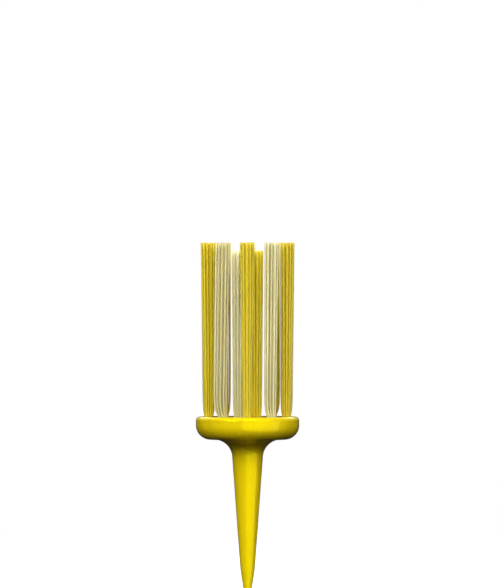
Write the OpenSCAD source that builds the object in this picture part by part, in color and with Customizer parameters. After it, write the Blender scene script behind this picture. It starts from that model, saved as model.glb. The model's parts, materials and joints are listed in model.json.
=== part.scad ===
// Brush golf tee. A moulded stake carries a round flange, and tufts of folded
// nylon bristle stand in blind holes in the flange. A flat metal anchor pins
// the fold of each tuft to the bottom of its hole. The outer tufts are cut
// level, and the ball rests on the inner edges of their tips. The inner tufts
// stop lower, which leaves room for the ball's underside.
// Millimetres, +Z up. The origin is on the axis, at the underside of the
// flange, which stops on the turf.

/* [Bristle height] */
// Height of the outer tufts' tips above the underside of the flange
rim_z = 32.2; // [20:0.1:45]
// How far below the outer tips the inner tufts stop
nest_depth = 1.3; // [0.5:0.1:3]

/* [Flange] */
// Diameter of the flange
flange_d = 16.9; // [16.6:0.1:20]
// Thickness of the flange
flange_h = 3.75; // [3.6:0.05:5]
// Radius of the flange's upper edge
upper_edge_r = 0.65; // [0.2:0.05:0.7]
// Radius of the flange's lower edge
lower_edge_r = 2.35; // [1:0.05:2.4]

/* [Stake] */
// Depth of the stake's point below the underside of the flange
stake_len = 27.8; // [25:0.1:60]
// Diameter of the stake just under its fillet
neck_d = 5; // [4:0.1:6]
// Radius of the fillet between stake and flange
fillet_r = 3; // [1:0.1:3]
// Depth at which the point begins
point_z = 21.3; // [15:0.1:22]
// Diameter of the stake where the point begins
point_d = 2.34; // [2:0.02:3]
// Radius of the rounded tip
tip_r = 0.2; // [0.1:0.05:0.4]

/* [Tufts] */
// Number of tufts in the outer ring
outer_count = 10; // [6:1:10]
// Radius of the outer ring of holes
outer_ring_r = 6.7; // [6.5:0.05:6.8]
// Outward lean of the outer tufts, degrees
outer_lean = 0.25; // [0:0.05:0.5]
// Diameter of an outer tuft at its tip
outer_tip_d = 2.44; // [1.8:0.02:2.6]
// Number of tufts in the inner ring
inner_count = 4; // [3:1:4]
// Radius of the inner ring of holes
inner_ring_r = 2.05; // [2:0.05:2.4]
// Diameter of an inner tuft at its tip
inner_tip_d = 2.3; // [1.8:0.02:2.4]
// Diameter of a tuft where it leaves its hole
tuft_base_d = 1.48; // [1.3:0.02:1.5]
// Height above the flange of the point that a tuft bends about
bend_h = 0.9; // [0.9:0.05:2]

/* [Holes and anchors] */
// Diameter of a tuft hole
hole_d = 1.7; // [1.55:0.05:1.8]
// Depth of a tuft hole
hole_depth = 2.6; // [2.4:0.1:2.8]
// Width of an anchor, which bites into the wall on both sides of the hole
anchor_w = 2.2; // [2:0.1:2.3]
// Thickness of an anchor
anchor_t = 0.25; // [0.2:0.05:0.3]
// Height of an anchor
anchor_h = 1.2; // [1:0.1:1.4]
// Height of an anchor's lower edge above the bottom of its hole
fold_h = 0.8; // [0.7:0.05:0.9]

/* [Hidden] */
$fn = 96;
// How far a cutting shape runs past the surface that it cuts
overrun = 0.5;
// Gap between the clamped bristle and the wall of its hole
root_gap = 0.02;
flange_r = flange_d / 2;
neck_r = neck_d / 2;
hole_z = flange_h - hole_depth;
bend_z = flange_h + bend_h;
// The straight side of the point leans in by this angle to touch the rounded
// tip, and would meet the axis at the apex
tip_z = tip_r - stake_len;
point_run = norm([point_d / 2, stake_len - tip_r - point_z]);
point_lean = atan2(point_d / 2, stake_len - tip_r - point_z) - asin(tip_r / point_run);
tip_touch = [tip_r * cos(point_lean), tip_z - tip_r * sin(point_lean)];
apex_z = tip_z - tip_r / sin(point_lean);

BRISTLE_YELLOW = [0.83, 0.70, 0.14];
BRISTLE_CREAM = [0.93, 0.90, 0.68];

// Angles about +Z. Outer tuft 1 stands at the front, on -Y, and the inner
// tufts stand on both sides of it.
function outer_angle(i) = -90 + (i - 1) * 360 / outer_count;
function inner_angle(i) = -90 + (i - 0.5) * 360 / inner_count;

// Puts a shape on its ring, with its +X pointing outwards
module on_ring(ring_r, angle) {
    rotate([0, 0, angle])
        translate([ring_r, 0, 0])
            children();
}

// The body's outline with every corner still sharp
module sharp_profile() {
    polygon([
        [0, flange_h],
        [flange_r, flange_h],
        [flange_r, 0],
        [neck_r + fillet_r, 0],
        [neck_r + fillet_r, -fillet_r],
        [neck_r, -fillet_r],
        [point_d / 2, -point_z],
        tip_touch,
        [0, apex_z]
    ]);
}

// The waste outside a rounded outer corner, whose arc is centred on the origin
module corner_waste(r) {
    difference() {
        square(r + overrun);
        circle(r = r);
    }
}

// The waste around the rounded tip, below the ring where it meets the point
module tip_waste() {
    difference() {
        translate([0, apex_z - overrun])
            square([tip_r, tip_touch[1] - apex_z + overrun]);
        translate([0, tip_z])
            circle(r = tip_r);
    }
}

module body_profile() {
    difference() {
        sharp_profile();
        translate([flange_r - upper_edge_r, flange_h - upper_edge_r])
            corner_waste(upper_edge_r);
        translate([flange_r - lower_edge_r, lower_edge_r])
            mirror([0, 1])
                corner_waste(lower_edge_r);
        translate([neck_r + fillet_r, -fillet_r])
            circle(r = fillet_r);
        tip_waste();
    }
}

module anchor_plate() {
    translate([-anchor_t / 2, -anchor_w / 2, hole_z + fold_h])
        cube([anchor_t, anchor_w, anchor_h]);
}

module tuft_pocket() {
    translate([0, 0, hole_z])
        cylinder(d = hole_d, h = hole_depth + overrun);
    anchor_plate();
}

module tee_body() {
    color([0.96, 0.87, 0.02])
        difference() {
            rotate_extrude()
                body_profile();
            for (i = [1:outer_count])
                on_ring(outer_ring_r, outer_angle(i))
                    tuft_pocket();
            for (i = [1:inner_count])
                on_ring(inner_ring_r, inner_angle(i))
                    tuft_pocket();
        }
}

// The free length of a tuft: a flared bundle that starts from a round end on
// the point it bends about, cut level at the top
module tuft(ring_r, angle, lean, tip_d, top_z) {
    free_h = top_z - bend_z;
    cone_h = free_h + overrun;
    cone_d = tuft_base_d + (tip_d - tuft_base_d) * cone_h / free_h;
    difference() {
        on_ring(ring_r, angle)
            translate([0, 0, bend_z])
                rotate([0, lean, 0])
                    rotate_extrude() {
                        intersection() {
                            circle(d = tuft_base_d);
                            translate([0, -tuft_base_d])
                                square(tuft_base_d);
                        }
                        polygon([[0, 0], [tuft_base_d / 2, 0], [cone_d / 2, cone_h], [0, cone_h]]);
                    }
        translate([0, 0, top_z])
            cylinder(d = flange_d, h = 2 * overrun);
    }
}

// The clamped length of a tuft: it fills the hole and folds under its anchor
module tuft_root() {
    difference() {
        translate([0, 0, hole_z])
            cylinder(d = hole_d - 2 * root_gap, h = hole_depth);
        anchor_plate();
    }
}

function bristle_color(i) = i % 2 == 1 ? BRISTLE_YELLOW : BRISTLE_CREAM;

module outer_tuft(i) {
    color(bristle_color(i))
        tuft(outer_ring_r, outer_angle(i), outer_lean, outer_tip_d, rim_z);
}

module inner_tuft(i) {
    color(bristle_color(i))
        tuft(inner_ring_r, inner_angle(i), 0, inner_tip_d, rim_z - nest_depth);
}

module outer_tuft_root(i) {
    color(bristle_color(i))
        on_ring(outer_ring_r, outer_angle(i))
            tuft_root();
}

module inner_tuft_root(i) {
    color(bristle_color(i))
        on_ring(inner_ring_r, inner_angle(i))
            tuft_root();
}

module outer_anchor(i) {
    color("silver")
        on_ring(outer_ring_r, outer_angle(i))
            anchor_plate();
}

module inner_anchor(i) {
    color("silver")
        on_ring(inner_ring_r, inner_angle(i))
            anchor_plate();
}

tee_body();
for (i = [1:outer_count]) {
    outer_tuft(i);
    outer_tuft_root(i);
    outer_anchor(i);
}
for (i = [1:inner_count]) {
    inner_tuft(i);
    inner_tuft_root(i);
    inner_anchor(i);
}
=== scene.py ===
import json
import math
import random

import bpy
import numpy as np
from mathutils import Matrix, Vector


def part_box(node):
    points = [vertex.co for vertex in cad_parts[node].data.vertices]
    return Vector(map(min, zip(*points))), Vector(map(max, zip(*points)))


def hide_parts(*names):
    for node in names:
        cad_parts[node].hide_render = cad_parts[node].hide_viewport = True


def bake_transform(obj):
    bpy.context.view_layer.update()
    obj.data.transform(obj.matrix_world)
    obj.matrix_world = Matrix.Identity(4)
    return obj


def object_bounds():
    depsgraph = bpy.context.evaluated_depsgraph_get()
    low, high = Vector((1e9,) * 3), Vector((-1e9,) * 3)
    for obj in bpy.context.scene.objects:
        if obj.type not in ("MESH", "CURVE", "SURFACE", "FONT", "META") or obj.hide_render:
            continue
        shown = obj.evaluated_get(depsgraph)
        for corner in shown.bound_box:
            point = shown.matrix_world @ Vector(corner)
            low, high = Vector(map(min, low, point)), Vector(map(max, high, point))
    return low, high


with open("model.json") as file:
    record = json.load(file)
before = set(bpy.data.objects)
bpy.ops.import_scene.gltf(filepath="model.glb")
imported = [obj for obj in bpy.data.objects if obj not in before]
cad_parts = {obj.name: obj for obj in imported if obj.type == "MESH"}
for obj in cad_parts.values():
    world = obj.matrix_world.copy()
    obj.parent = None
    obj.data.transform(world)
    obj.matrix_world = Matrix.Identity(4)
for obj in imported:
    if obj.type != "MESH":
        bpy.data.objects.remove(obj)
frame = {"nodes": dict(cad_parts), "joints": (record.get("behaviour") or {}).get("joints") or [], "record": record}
cad_low, cad_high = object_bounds()

MM = 0.001

# Camera: a long lens, level with the middle of the picture and turned a little to the right
LENS_MM = 400.0
SENSOR_MM = 36.0
FRAME_HEIGHT = 96.13 * MM
AIM = Vector((0.40 * MM, 0.0, 23.8 * MM))
CAMERA_TURN = math.radians(0.6)

# Filaments: their radius, the sides of a tube, and its rings along the free length
FILAMENT_R = 0.17 * MM
SIDES = 12
FREE_RINGS = 26
# Filament ends on one side of the anchor, in mm: distance from its plane, and places along it
ROWS = ((0.175, (-0.525, -0.175, 0.175, 0.525)), (0.475, (-0.35, 0.0, 0.35)))
# The rows' distance from each other beside the anchor, in filament radii
ROW_STEP = 1.76
# Half the thickness of an anchor
ANCHOR_HALF = 0.125 * MM
# Rings on the way down to the anchor's upper edge, and on the half turn under it
HOLE_RINGS = 3
FOLD_RINGS = 8

# Tips: how far a tuft may be twisted, how far an end may stand off its place and short of the cut,
# and the bevel of an end
TWIST = math.radians(3)
TIP_JITTER = 0.03 * MM
TIP_UNEVEN = 0.07 * MM
TIP_BEVEL = 0.04 * MM
# Ends that stand further out than this in the hole make the rim of the open tuft
RIM_FROM = 0.4 * MM
# The other ends' share of the way out to the rim
HEART_REACH = 0.42

# Waves along a filament: greatest size, phase change from hole to tip along two directions, size of
# the fast waves against the slow ones, and how fast they all grow above the hole
WAVE = 0.008 * MM
SLOW_WAVE = (5.2, 5.8)
FAST_WAVE = (13, 12)
FAST_SHARE = 0.4
WAVE_GROWTH = 3

# Share of a tuft's opening that comes just above its hole, and how fast it comes
SPLAY_LITTLE = (0.02, 0.10)
SPLAY_SOME = (0.35, 0.45)
SPLAY_MOST = (0.55, 0.65)
SPLAY_FULL = (0.8, 0.9)
SPLAY_SPEED = 28
NARROW_TUFTS = ("outer_tuft_1", "outer_tuft_3", "outer_tuft_9")
WIDE_TUFTS = ("outer_tuft_5", "outer_tuft_7", "outer_tuft_10")
# How far a tuft leans along X just above its hole. The others leave their holes straight.
LEANS = {
    "outer_tuft_2": -0.22 * MM,
    "outer_tuft_5": 0.25 * MM,
    "outer_tuft_9": 0.10 * MM,
    "outer_tuft_10": -0.50 * MM,
}

# Tint of a strand between a bristle's deep and bright colour: a tuft's own part, and the random part
# The inner tufts' own part is painted light: a paler tint that makes up for the shade the outer tufts cast on
# them.
INNER_PAINTED_LIGHT = 0.6
OUTER_PALE = (0.0, 0.15)
TINT_RANGE = 0.8
# Keeps the grain of one filament apart from the next one's
GRAIN_STEP = 5 * MM

# Body: its deep and bright colour, roughness, and the colour and strength of its gloss
BODY_DEEP = (0.75, 0.56, 0.003)
BODY_BRIGHT = (0.82, 0.615, 0.004)
BODY_ROUGHNESS = (0.03, 0.08)
BODY_GLOSS = (1.0, 0.86, 0.0, 1.0)
BODY_IOR = 1.9
# Wide and fine flow streaks and shallow sinks: how close they lie around the axis and along it, and
# their relief
FLOW_WIDE = 5.0
FLOW_FINE = 22.0
FLOW_ALONG = 45.0
FLOW_SINK = 7.0
SINK_ALONG = 180.0
WIDE_RELIEF = 0.12 * MM
FINE_RELIEF = 0.006 * MM
SINK_RELIEF = 0.14 * MM
# Scale of the marks of handling, and scale and relief of the grain of the skin
HANDLING = 260.0
SKIN_GRAIN = 2200.0
SKIN_RELIEF = 0.001 * MM
# Distances from the axis between which the relief rises off the stake, and the sinks off the rim
STAKE_RISE = (2.5 * MM, 3.0 * MM)
SINK_RISE = (8.0 * MM, 5.0 * MM)
# Share of the relief that is left on the stake, and of the sinks that is left at the rim
STAKE_SHARE = 0.10
RIM_SHARE = 0.25

# Bristle: each slot's deep and bright colour, roughness, and the share of light that goes through
BRISTLE_COLORS = {
    "bristle_yellow": ((0.63, 0.49, 0.009), (0.84, 0.685, 0.021)),
    "bristle_cream": ((0.52, 0.455, 0.17), (1.0, 0.95, 0.56)),
}
BRISTLE_ROUGHNESS = (0.30, 0.45)
LIGHT_THROUGH = 0.12
# Lines drawn along a filament: scale across it, scale along it as a share of that, and relief
LINES = 9000.0
LINES_ALONG = 0.03
LINE_RELIEF = 0.003 * MM
# Painted shade: the colour deepens towards the hole over this share of the length, by this much
ROOT_SHADE_REACH = 0.4
ROOT_SHADE_DEPTH = 0.4

# Anchors: deep and bright colour, roughness, and the brushing's scale along the anchor, how many times
# finer it is upwards, and its relief
BRASS_DEEP = (0.50, 0.35, 0.11)
BRASS_BRIGHT = (0.70, 0.52, 0.20)
BRASS_ROUGHNESS = (0.25, 0.45)
BRUSHING = 1500.0
BRUSHING_UP = 12.0
BRUSHING_RELIEF = 0.003 * MM

# Studio: strength of the soft light from above and from below, and the heights of a direction between
# which it changes
SKY = 0.4
GROUND = 0.02
SKY_RISE = (0.0, 0.4)
# Half the side of the floor, and the distances between which its paper turns white
FLOOR_HALF = 1.5
PAPER_TO = 0.08
WHITE_FROM = 0.35
# Name, azimuth, elevation, distance, width, height, power, and what it lights
LIGHTS = (
    ("key", 5, 34, 0.9, 0.45, 0.35, 2.8, "all"),
    ("key_high", 5, 50, 0.9, 0.5, 0.35, 1.8, "all"),
    ("key_left", -40, 31, 0.9, 0.5, 0.4, 3.0, "all"),
    ("key_right", 40, 31, 0.9, 0.5, 0.4, 1.6, "all"),
    ("fill", 0.6, 19, 0.9, 0.12, 0.12, 1.9, "diffuse"),
    ("back", 180, 42, 0.9, 0.9, 0.6, 5.0, "all"),
    ("reflector", 33, -17, 0.8, 1.62, 0.85, 8.5, "gloss"),
)


# ---------------------------------------------------------------- materials

def new_material(name):
    """A material with one Principled shader and its output, and nothing else."""
    material = bpy.data.materials.new(name)
    material.use_nodes = True
    tree = material.node_tree
    tree.nodes.clear()
    output = tree.nodes.new("ShaderNodeOutputMaterial")
    shader = tree.nodes.new("ShaderNodeBsdfPrincipled")
    tree.links.new(shader.outputs["BSDF"], output.inputs["Surface"])
    return material, tree, shader, output


def vector_math(tree, operation, *inputs):
    """A vector operation on sockets and fixed vectors."""
    node = tree.nodes.new("ShaderNodeVectorMath")
    node.operation = operation
    for socket, value in zip(node.inputs, inputs):
        if isinstance(value, tuple):
            socket.default_value = value
        else:
            tree.links.new(value, socket)
    return node.outputs["Vector"]


def length_of(tree, vector):
    node = tree.nodes.new("ShaderNodeVectorMath")
    node.operation = "LENGTH"
    tree.links.new(vector, node.inputs[0])
    return node.outputs["Value"]


def product(tree, first, second):
    node = tree.nodes.new("ShaderNodeMath")
    node.operation = "MULTIPLY"
    tree.links.new(first, node.inputs[0])
    tree.links.new(second, node.inputs[1])
    return node.outputs["Value"]


def object_place(tree):
    return tree.nodes.new("ShaderNodeTexCoord").outputs["Object"]


def noise(tree, place, scale, detail=2.0):
    node = tree.nodes.new("ShaderNodeTexNoise")
    tree.links.new(place, node.inputs["Vector"])
    node.inputs["Scale"].default_value = scale
    node.inputs["Detail"].default_value = detail
    return node.outputs["Fac"]


def attribute(tree, name, output="Fac"):
    node = tree.nodes.new("ShaderNodeAttribute")
    node.attribute_name = name
    return node.outputs[output]


def spread(tree, value, low, high, to_low=0.0, to_high=1.0):
    """Maps low..high to to_low..to_high, held at both ends."""
    node = tree.nodes.new("ShaderNodeMapRange")
    tree.links.new(value, node.inputs["Value"])
    node.inputs["From Min"].default_value = low
    node.inputs["From Max"].default_value = high
    node.inputs["To Min"].default_value = to_low
    node.inputs["To Max"].default_value = to_high
    return node.outputs["Result"]


def blend_colors(tree, factor, first, second):
    node = tree.nodes.new("ShaderNodeMix")
    node.data_type = "RGBA"
    tree.links.new(factor, node.inputs["Factor"])
    for socket, color in zip((node.inputs[6], node.inputs[7]), (first, second)):
        if isinstance(color, tuple):
            socket.default_value = (*color, 1.0)
        else:
            tree.links.new(color, socket)
    return node.outputs[2]


def mix_shaders(tree, factor, first, second):
    """A mix of two shaders, by a socket or by a fixed share of the second."""
    node = tree.nodes.new("ShaderNodeMixShader")
    if isinstance(factor, float):
        node.inputs["Fac"].default_value = factor
    else:
        tree.links.new(factor, node.inputs["Fac"])
    tree.links.new(first, node.inputs[1])
    tree.links.new(second, node.inputs[2])
    return node.outputs["Shader"]


def bump(tree, height, distance, below=None):
    """Bump of a height in metres, on top of another bump."""
    node = tree.nodes.new("ShaderNodeBump")
    node.inputs["Strength"].default_value = 1.0
    node.inputs["Distance"].default_value = distance
    tree.links.new(height, node.inputs["Height"])
    if below:
        tree.links.new(below, node.inputs["Normal"])
    return node.outputs["Normal"]


def body_plastic():
    """Glossy moulded plastic, with flow streaks that run out from the axis and along the stake."""
    material, tree, shader, _ = new_material("body_plastic")
    place = object_place(tree)
    sideways = vector_math(tree, "MULTIPLY", place, (1.0, 1.0, 0.0))
    around_axis = vector_math(tree, "NORMALIZE", sideways)
    flow = vector_math(tree, "MULTIPLY_ADD", place, (0.0, 0.0, FLOW_ALONG), around_axis)
    sinks = vector_math(tree, "MULTIPLY_ADD", place, (0.0, 0.0, SINK_ALONG), around_axis)
    flow_fine = noise(tree, flow, FLOW_FINE)
    handling = noise(tree, place, HANDLING, 4.0)
    color = blend_colors(tree, spread(tree, flow_fine, 0.3, 0.7), BODY_DEEP, BODY_BRIGHT)
    tree.links.new(color, shader.inputs["Base Color"])
    tree.links.new(spread(tree, handling, 0.35, 0.7, *BODY_ROUGHNESS), shader.inputs["Roughness"])
    from_axis = length_of(tree, sideways)
    off_stake = spread(tree, from_axis, *STAKE_RISE, STAKE_SHARE, 1.0)
    off_rim = spread(tree, from_axis, *SINK_RISE, RIM_SHARE, 1.0)
    sink = product(tree, noise(tree, sinks, FLOW_SINK, 1.0), product(tree, off_stake, off_rim))
    normal = bump(tree, product(tree, noise(tree, flow, FLOW_WIDE, 1.0), off_stake), WIDE_RELIEF)
    normal = bump(tree, sink, SINK_RELIEF, normal)
    normal = bump(tree, flow_fine, FINE_RELIEF, normal)
    normal = bump(tree, noise(tree, place, SKIN_GRAIN), SKIN_RELIEF, normal)
    tree.links.new(normal, shader.inputs["Normal"])
    shader.inputs["IOR"].default_value = BODY_IOR
    shader.inputs["Specular Tint"].default_value = BODY_GLOSS
    return material


def bristle(name, deep, bright):
    """Drawn nylon: each strand has its own tint and fine lines along it, and lets light through. Painted light
    makes the inner tufts paler, and painted shade deepens the colour towards the hole.
    """
    material, tree, shader, output = new_material(name)
    grain = attribute(tree, "grain", "Vector")
    lines = vector_math(tree, "MULTIPLY", grain, (1.0, 1.0, LINES_ALONG))
    streak = noise(tree, lines, LINES, 3.0)
    strand = attribute(tree, "strand")
    along = attribute(tree, "along")
    strand_color = blend_colors(tree, strand, deep, bright)
    streaked = blend_colors(tree, spread(tree, streak, 0.35, 0.75, 0.0, 0.3), strand_color, bright)
    # Painted shade: the colour deepens towards the hole
    color = blend_colors(tree, spread(tree, along, 0.0, ROOT_SHADE_REACH, ROOT_SHADE_DEPTH, 0.0), streaked, deep)
    tree.links.new(color, shader.inputs["Base Color"])
    tree.links.new(spread(tree, streak, 0.3, 0.7, *BRISTLE_ROUGHNESS), shader.inputs["Roughness"])
    tree.links.new(bump(tree, streak, LINE_RELIEF), shader.inputs["Normal"])
    shader.inputs["Subsurface Weight"].default_value = 0.35
    shader.inputs["Subsurface Radius"].default_value = (1.0, 0.8, 0.4)
    shader.inputs["Subsurface Scale"].default_value = 0.15 * MM
    through = tree.nodes.new("ShaderNodeBsdfTranslucent")
    tree.links.new(color, through.inputs["Color"])
    both = mix_shaders(tree, LIGHT_THROUGH, shader.outputs["BSDF"], through.outputs["BSDF"])
    tree.links.new(both, output.inputs["Surface"])
    return material


def anchor_metal():
    """Brass strip, brushed along its width."""
    material, tree, shader, _ = new_material("anchor_metal")
    place = vector_math(tree, "MULTIPLY", object_place(tree), (1.0, 1.0, BRUSHING_UP))
    brushed = noise(tree, place, BRUSHING, 3.0)
    tree.links.new(blend_colors(tree, brushed, BRASS_DEEP, BRASS_BRIGHT), shader.inputs["Base Color"])
    tree.links.new(spread(tree, brushed, 0.3, 0.7, *BRASS_ROUGHNESS), shader.inputs["Roughness"])
    tree.links.new(bump(tree, brushed, BRUSHING_RELIEF), shader.inputs["Normal"])
    shader.inputs["Metallic"].default_value = 1.0
    return material


def coat(node, material):
    """Gives a CAD node one material in place of its own."""
    node.data.materials.clear()
    node.data.materials.append(material)


# ------------------------------------------------------------------ bristle

def ease(t):
    """Rises from 0 to 1 with a gentle start and end."""
    return t * t * (3 - 2 * t)


def early(s):
    """Rises fast from 0 at the hole, then falls evenly to 0 at the tip."""
    return 1.0 - s - (1.0 - s) ** SPLAY_SPEED


def leg(tuft, side, row, v, rng):
    """Centreline of one end of a folded filament, from its tip down to the anchor's lower edge."""
    u = side * ROWS[row][0] * MM
    v = v * MM
    anchor_u = side * (ANCHOR_HALF + FILAMENT_R * (1.0 + ROW_STEP * row))
    base = np.array((u, v))
    limit = tuft["tip_r"] - FILAMENT_R
    reach = limit * (1.0 if math.hypot(u, v) > RIM_FROM else HEART_REACH)
    angle = math.atan2(v, u) + tuft["twist"]
    tip = reach * np.array((math.cos(angle), math.sin(angle)))
    tip += np.array((rng.uniform(-1, 1), rng.uniform(-1, 1))) * TIP_JITTER
    tip *= min(1.0, limit / np.linalg.norm(tip))
    top_z = tuft["top_z"] - rng.random() * TIP_UNEVEN
    phase = [rng.uniform(0, math.tau) for _ in range(4)]
    swell = WAVE * rng.uniform(0.5, 1.0)
    free = top_z - tuft["flange_z"]

    def place(local, s, z):
        """World place of a local one, at a share s of the way from the hole to the tip."""
        centre = tuft["root"] + (tuft["tip"] - tuft["root"]) * s + (tuft["lean"] * early(s), 0.0)
        xy = centre + tuft["out"] * local[0] + tuft["across"] * local[1]
        return np.array((xy[0], xy[1], z))

    points = []
    for i in range(FREE_RINGS + 1):
        s = 1.0 - i / FREE_RINGS
        sway = swell * ease(min(1.0, WAVE_GROWTH * s))
        slow = [math.sin(phase[2 * k] + SLOW_WAVE[k] * s) for k in (0, 1)]
        fast = [math.sin(phase[2 * k + 1] + FAST_WAVE[k] * s) for k in (0, 1)]
        wave = (np.array(slow) + FAST_SHARE * np.array(fast)) * sway
        opened = s + tuft["splay"] * early(s)
        points.append(place(base + (tip - base) * opened + wave, s, tuft["flange_z"] + s * free))
    drop = tuft["flange_z"] - tuft["anchor_top"]
    for i in range(1, HOLE_RINGS + 1):
        down = i / HOLE_RINGS
        local = np.array((u + (anchor_u - u) * ease(down), v))
        points.append(place(local, 0.0, tuft["flange_z"] - down * drop))
    points.append(place(np.array((anchor_u, v)), 0.0, tuft["anchor_low"]))
    return points, anchor_u


def fold(tuft, row, v, rng):
    """Centreline of one filament, from tip to tip under the anchor."""
    one, reach = leg(tuft, 1, row, v, rng)
    other, _ = leg(tuft, -1, row, v, rng)
    under = []
    for i in range(1, FOLD_RINGS):
        a = math.pi * i / FOLD_RINGS
        local = (reach * math.cos(a), v * MM)
        xy = tuft["root"] + tuft["out"] * local[0] + tuft["across"] * local[1]
        under.append(np.array((xy[0], xy[1], tuft["anchor_low"] - reach * math.sin(a))))
    return one + under + other[::-1]


def tube(points, radius):
    """Verts, faces and grain of a tube along the points, whose two ends are cut level.

    The grain is each vert's place on the filament pulled straight.
    """
    points = np.array(points)
    ahead = np.gradient(points, axis=0)
    ahead /= np.linalg.norm(ahead, axis=1)[:, None]
    lengths = np.concatenate(([0.0], np.cumsum(np.linalg.norm(np.diff(points, axis=0), axis=1))))
    angles = np.arange(SIDES) * math.tau / SIDES
    circle = radius * np.column_stack((np.cos(angles), np.sin(angles)))
    side = np.cross(ahead[0], (0.0, 1.0, 0.0))
    side /= np.linalg.norm(side)
    rings = []
    for point, way in zip(points, ahead):
        side = side - way * (side @ way)
        side /= np.linalg.norm(side)
        rings.append(point + circle @ np.array((side, np.cross(way, side))))
    caps = []
    for index in (0, -1):
        rings[index][:, 2] = points[index][2]
        caps.append(points[index] + (rings[index] - points[index]) * (1 - TIP_BEVEL / radius))
        rings[index][:, 2] -= TIP_BEVEL
    rings = [caps[0]] + rings + [caps[1]]
    lengths = [lengths[0], *lengths, lengths[-1]]
    grain = np.concatenate([np.column_stack((circle, np.full(SIDES, length))) for length in lengths])
    faces = []
    for r in range(len(rings) - 1):
        for k in range(SIDES):
            a, b = r * SIDES + k, r * SIDES + (k + 1) % SIDES
            faces.append((a, a + SIDES, b + SIDES, b))
    last = (len(rings) - 1) * SIDES
    faces.append(tuple(range(SIDES)))
    faces.append(tuple(last + k for k in reversed(range(SIDES))))
    return np.concatenate(rings), faces, grain


def splay_range(name, slot):
    """The range of early opening that a tuft's own is drawn from."""
    if name in NARROW_TUFTS:
        return SPLAY_LITTLE
    if name in WIDE_TUFTS:
        return SPLAY_FULL
    if name.startswith("outer") and slot == "bristle_cream":
        return SPLAY_MOST
    return SPLAY_SOME


def make_tuft(joint, slot, material, seed):
    """The folded filaments of one tuft, as one mesh."""
    name = joint["child"]
    kind, _, number = name.split("_")
    root_node = f"{kind}_tuft_root_{number}"
    anchor_low, anchor_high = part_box(f"{kind}_anchor_{number}")
    low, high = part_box(name)
    root = np.array(joint["pos_m"][:2])
    out = root / np.linalg.norm(root)
    tip = np.array(((low.x + high.x) / 2, (low.y + high.y) / 2))
    flange_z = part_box("tee_body")[1].z
    rng = random.Random(seed)
    tip_r = min(high.x - low.x, high.y - low.y) / 2
    tuft = {
        "root": root, "tip": tip, "out": out, "across": np.array((-out[1], out[0])),
        "flange_z": flange_z, "top_z": high.z,
        "anchor_top": anchor_high.z, "anchor_low": anchor_low.z,
        "tip_r": tip_r, "twist": rng.uniform(-TWIST, TWIST),
        "splay": rng.uniform(*splay_range(name, slot)), "lean": LEANS.get(name, 0.0),
        # Inner tufts get a paler tint as painted light against the shade of the outer tufts; outer tufts get a
        # random tone
        "tone_and_painted_light": INNER_PAINTED_LIGHT if kind == "inner" else rng.uniform(*OUTER_PALE),
    }
    verts, faces, grain, strand = [], [], [], []
    count = 0
    for row, (_, places) in enumerate(ROWS):
        for v in places:
            tube_verts, tube_faces, tube_grain = tube(fold(tuft, row, v, rng), FILAMENT_R)
            verts.append(tube_verts)
            faces += [tuple(count + i for i in face) for face in tube_faces]
            grain.append(tube_grain + (GRAIN_STEP * len(grain), 0.0, 0.0))
            half = len(tube_verts) // 2
            tints = [tuft["tone_and_painted_light"] + TINT_RANGE * rng.random() for _ in range(2)]
            strand += [tints[0]] * half + [tints[1]] * (len(tube_verts) - half)
            count += len(tube_verts)
    verts = np.concatenate(verts)
    along = np.clip((verts[:, 2] - flange_z) / (high.z - flange_z), 0, 1)
    mesh = bpy.data.meshes.new(name + "_bristles")
    mesh.from_pydata(verts.tolist(), [], faces)
    mesh.polygons.foreach_set("use_smooth", [True] * len(mesh.polygons))
    mesh.attributes.new("strand", "FLOAT", "POINT").data.foreach_set("value", strand)
    mesh.attributes.new("along", "FLOAT", "POINT").data.foreach_set("value", along.astype(np.float32))
    grain = np.concatenate(grain).astype(np.float32).ravel()
    mesh.attributes.new("grain", "FLOAT_VECTOR", "POINT").data.foreach_set("vector", grain)
    mesh.materials.append(material)
    piece = bpy.data.objects.new(name + "_bristles", mesh)
    bpy.context.scene.collection.objects.link(piece)
    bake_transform(piece)
    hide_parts(name, root_node)


# ------------------------------------------------------------------- studio

def around(azimuth, elevation, distance):
    """A place seen from the object at an azimuth, 0 at the front and positive to the right."""
    a, e = math.radians(azimuth), math.radians(elevation)
    return Vector((math.sin(a) * math.cos(e), -math.cos(a) * math.cos(e), math.sin(e))) * distance


def soft_box(name, place, width, height, power, reach):
    """A soft box that gives light to all of a surface, or to its gloss or its diffuse part alone."""
    data = bpy.data.lights.new(name, "AREA")
    data.shape = "RECTANGLE"
    data.size = width
    data.size_y = height
    data.energy = power
    light = bpy.data.objects.new(name, data)
    light.location = place
    light.rotation_mode = "QUATERNION"
    light.rotation_quaternion = (-place).to_track_quat("-Z", "Y")
    light.visible_camera = False
    light.visible_diffuse = reach != "gloss"
    light.visible_glossy = reach != "diffuse"
    bpy.context.scene.collection.objects.link(light)


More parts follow.
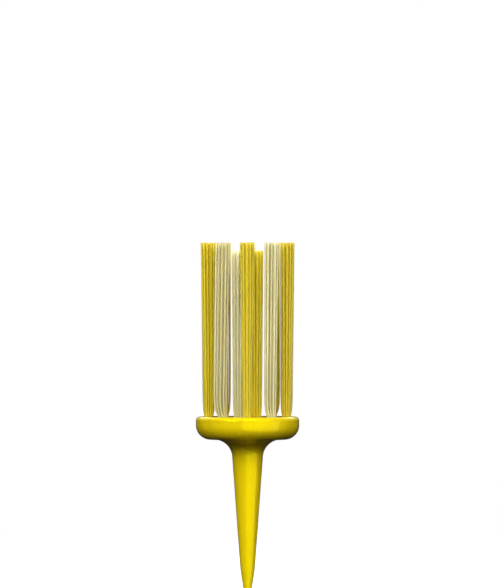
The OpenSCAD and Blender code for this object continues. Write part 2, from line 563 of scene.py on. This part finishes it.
def make_world():
    """White to the camera. It lights the object softly from above, and hardly from below."""
    world = bpy.data.worlds.new("studio")
    bpy.context.scene.world = world
    world.use_nodes = True
    tree = world.node_tree
    tree.nodes.clear()
    output = tree.nodes.new("ShaderNodeOutputWorld")
    seen = tree.nodes.new("ShaderNodeBackground")
    seen.inputs["Color"].default_value = (1.0, 1.0, 1.0, 1.0)
    seen.inputs["Strength"].default_value = 1.0
    lit = tree.nodes.new("ShaderNodeBackground")
    lit.inputs["Color"].default_value = (1.0, 1.0, 1.0, 1.0)
    direction = tree.nodes.new("ShaderNodeSeparateXYZ")
    coordinates = tree.nodes.new("ShaderNodeTexCoord")
    tree.links.new(coordinates.outputs["Generated"], direction.inputs["Vector"])
    strength = spread(tree, direction.outputs["Z"], *SKY_RISE, GROUND, SKY)
    tree.links.new(strength, lit.inputs["Strength"])
    camera_ray = tree.nodes.new("ShaderNodeLightPath").outputs["Is Camera Ray"]
    both = mix_shaders(tree, camera_ray, lit.outputs["Background"], seen.outputs["Background"])
    tree.links.new(both, output.inputs["Surface"])


def make_floor(z):
    """Pale paper that turns into the white of the background far from the object.

    It casts no shadow and no reflection, so the reflector below it reaches the object.
    """
    material, tree, paper, output = new_material("floor_paper")
    paper.inputs["Base Color"].default_value = (0.92, 0.92, 0.91, 1.0)
    paper.inputs["Roughness"].default_value = 0.9
    paper.inputs["Emission Color"].default_value = (1.0, 1.0, 1.0, 1.0)
    paper.inputs["Emission Strength"].default_value = 0.45
    white = tree.nodes.new("ShaderNodeEmission")
    white.inputs["Color"].default_value = (1.0, 1.0, 1.0, 1.0)
    far = spread(tree, length_of(tree, object_place(tree)), PAPER_TO, WHITE_FROM)
    seen = mix_shaders(tree, far, paper.outputs["BSDF"], white.outputs["Emission"])
    lit = tree.nodes.new("ShaderNodeBsdfDiffuse")
    lit.inputs["Color"].default_value = (0.03, 0.03, 0.03, 1.0)
    camera_ray = tree.nodes.new("ShaderNodeLightPath").outputs["Is Camera Ray"]
    tree.links.new(mix_shaders(tree, camera_ray, lit.outputs["BSDF"], seen), output.inputs["Surface"])
    mesh = bpy.data.meshes.new("floor")
    corners = [(x * FLOOR_HALF, y * FLOOR_HALF, z) for x, y in ((-1, -1), (1, -1), (1, 1), (-1, 1))]
    mesh.from_pydata(corners, [], [(0, 1, 2, 3)])
    mesh.materials.append(material)
    floor = bpy.data.objects.new("floor", mesh)
    floor.visible_shadow = False
    floor.visible_glossy = False
    bpy.context.scene.collection.objects.link(floor)


def make_camera():
    data = bpy.data.cameras.new("camera")
    data.lens = LENS_MM
    data.sensor_width = SENSOR_MM
    data.clip_start = 0.01
    data.clip_end = 20
    camera = bpy.data.objects.new("camera", data)
    distance = FRAME_HEIGHT / SENSOR_MM * LENS_MM
    back = Vector((math.sin(CAMERA_TURN), -math.cos(CAMERA_TURN), 0.0))
    camera.location = AIM + back * distance
    camera.rotation_mode = "QUATERNION"
    camera.rotation_quaternion = (-back).to_track_quat("-Z", "Y")
    bpy.context.scene.collection.objects.link(camera)
    bpy.context.scene.camera = camera


# -------------------------------------------------------------------- scene

make_camera()
make_world()
make_floor(cad_low.z)
for name, azimuth, elevation, distance, width, height, power, reach in LIGHTS:
    soft_box(name, around(azimuth, elevation, distance), width, height, power, reach)

bpy.context.scene.view_settings.view_transform = "Standard"

coat(frame["nodes"]["tee_body"], body_plastic())

bristle_materials = {name: bristle(name, *colors) for name, colors in BRISTLE_COLORS.items()}
slots = {s["node"]: s["material_slot"] for s in frame["record"]["subparts"]}
for index, joint in enumerate(frame["joints"]):
    slot = slots[joint["child"]]
    make_tuft(joint, slot, bristle_materials[slot], 100 + index)

metal = anchor_metal()
for name, node in frame["nodes"].items():
    if "anchor" in name:
        coat(node, metal)
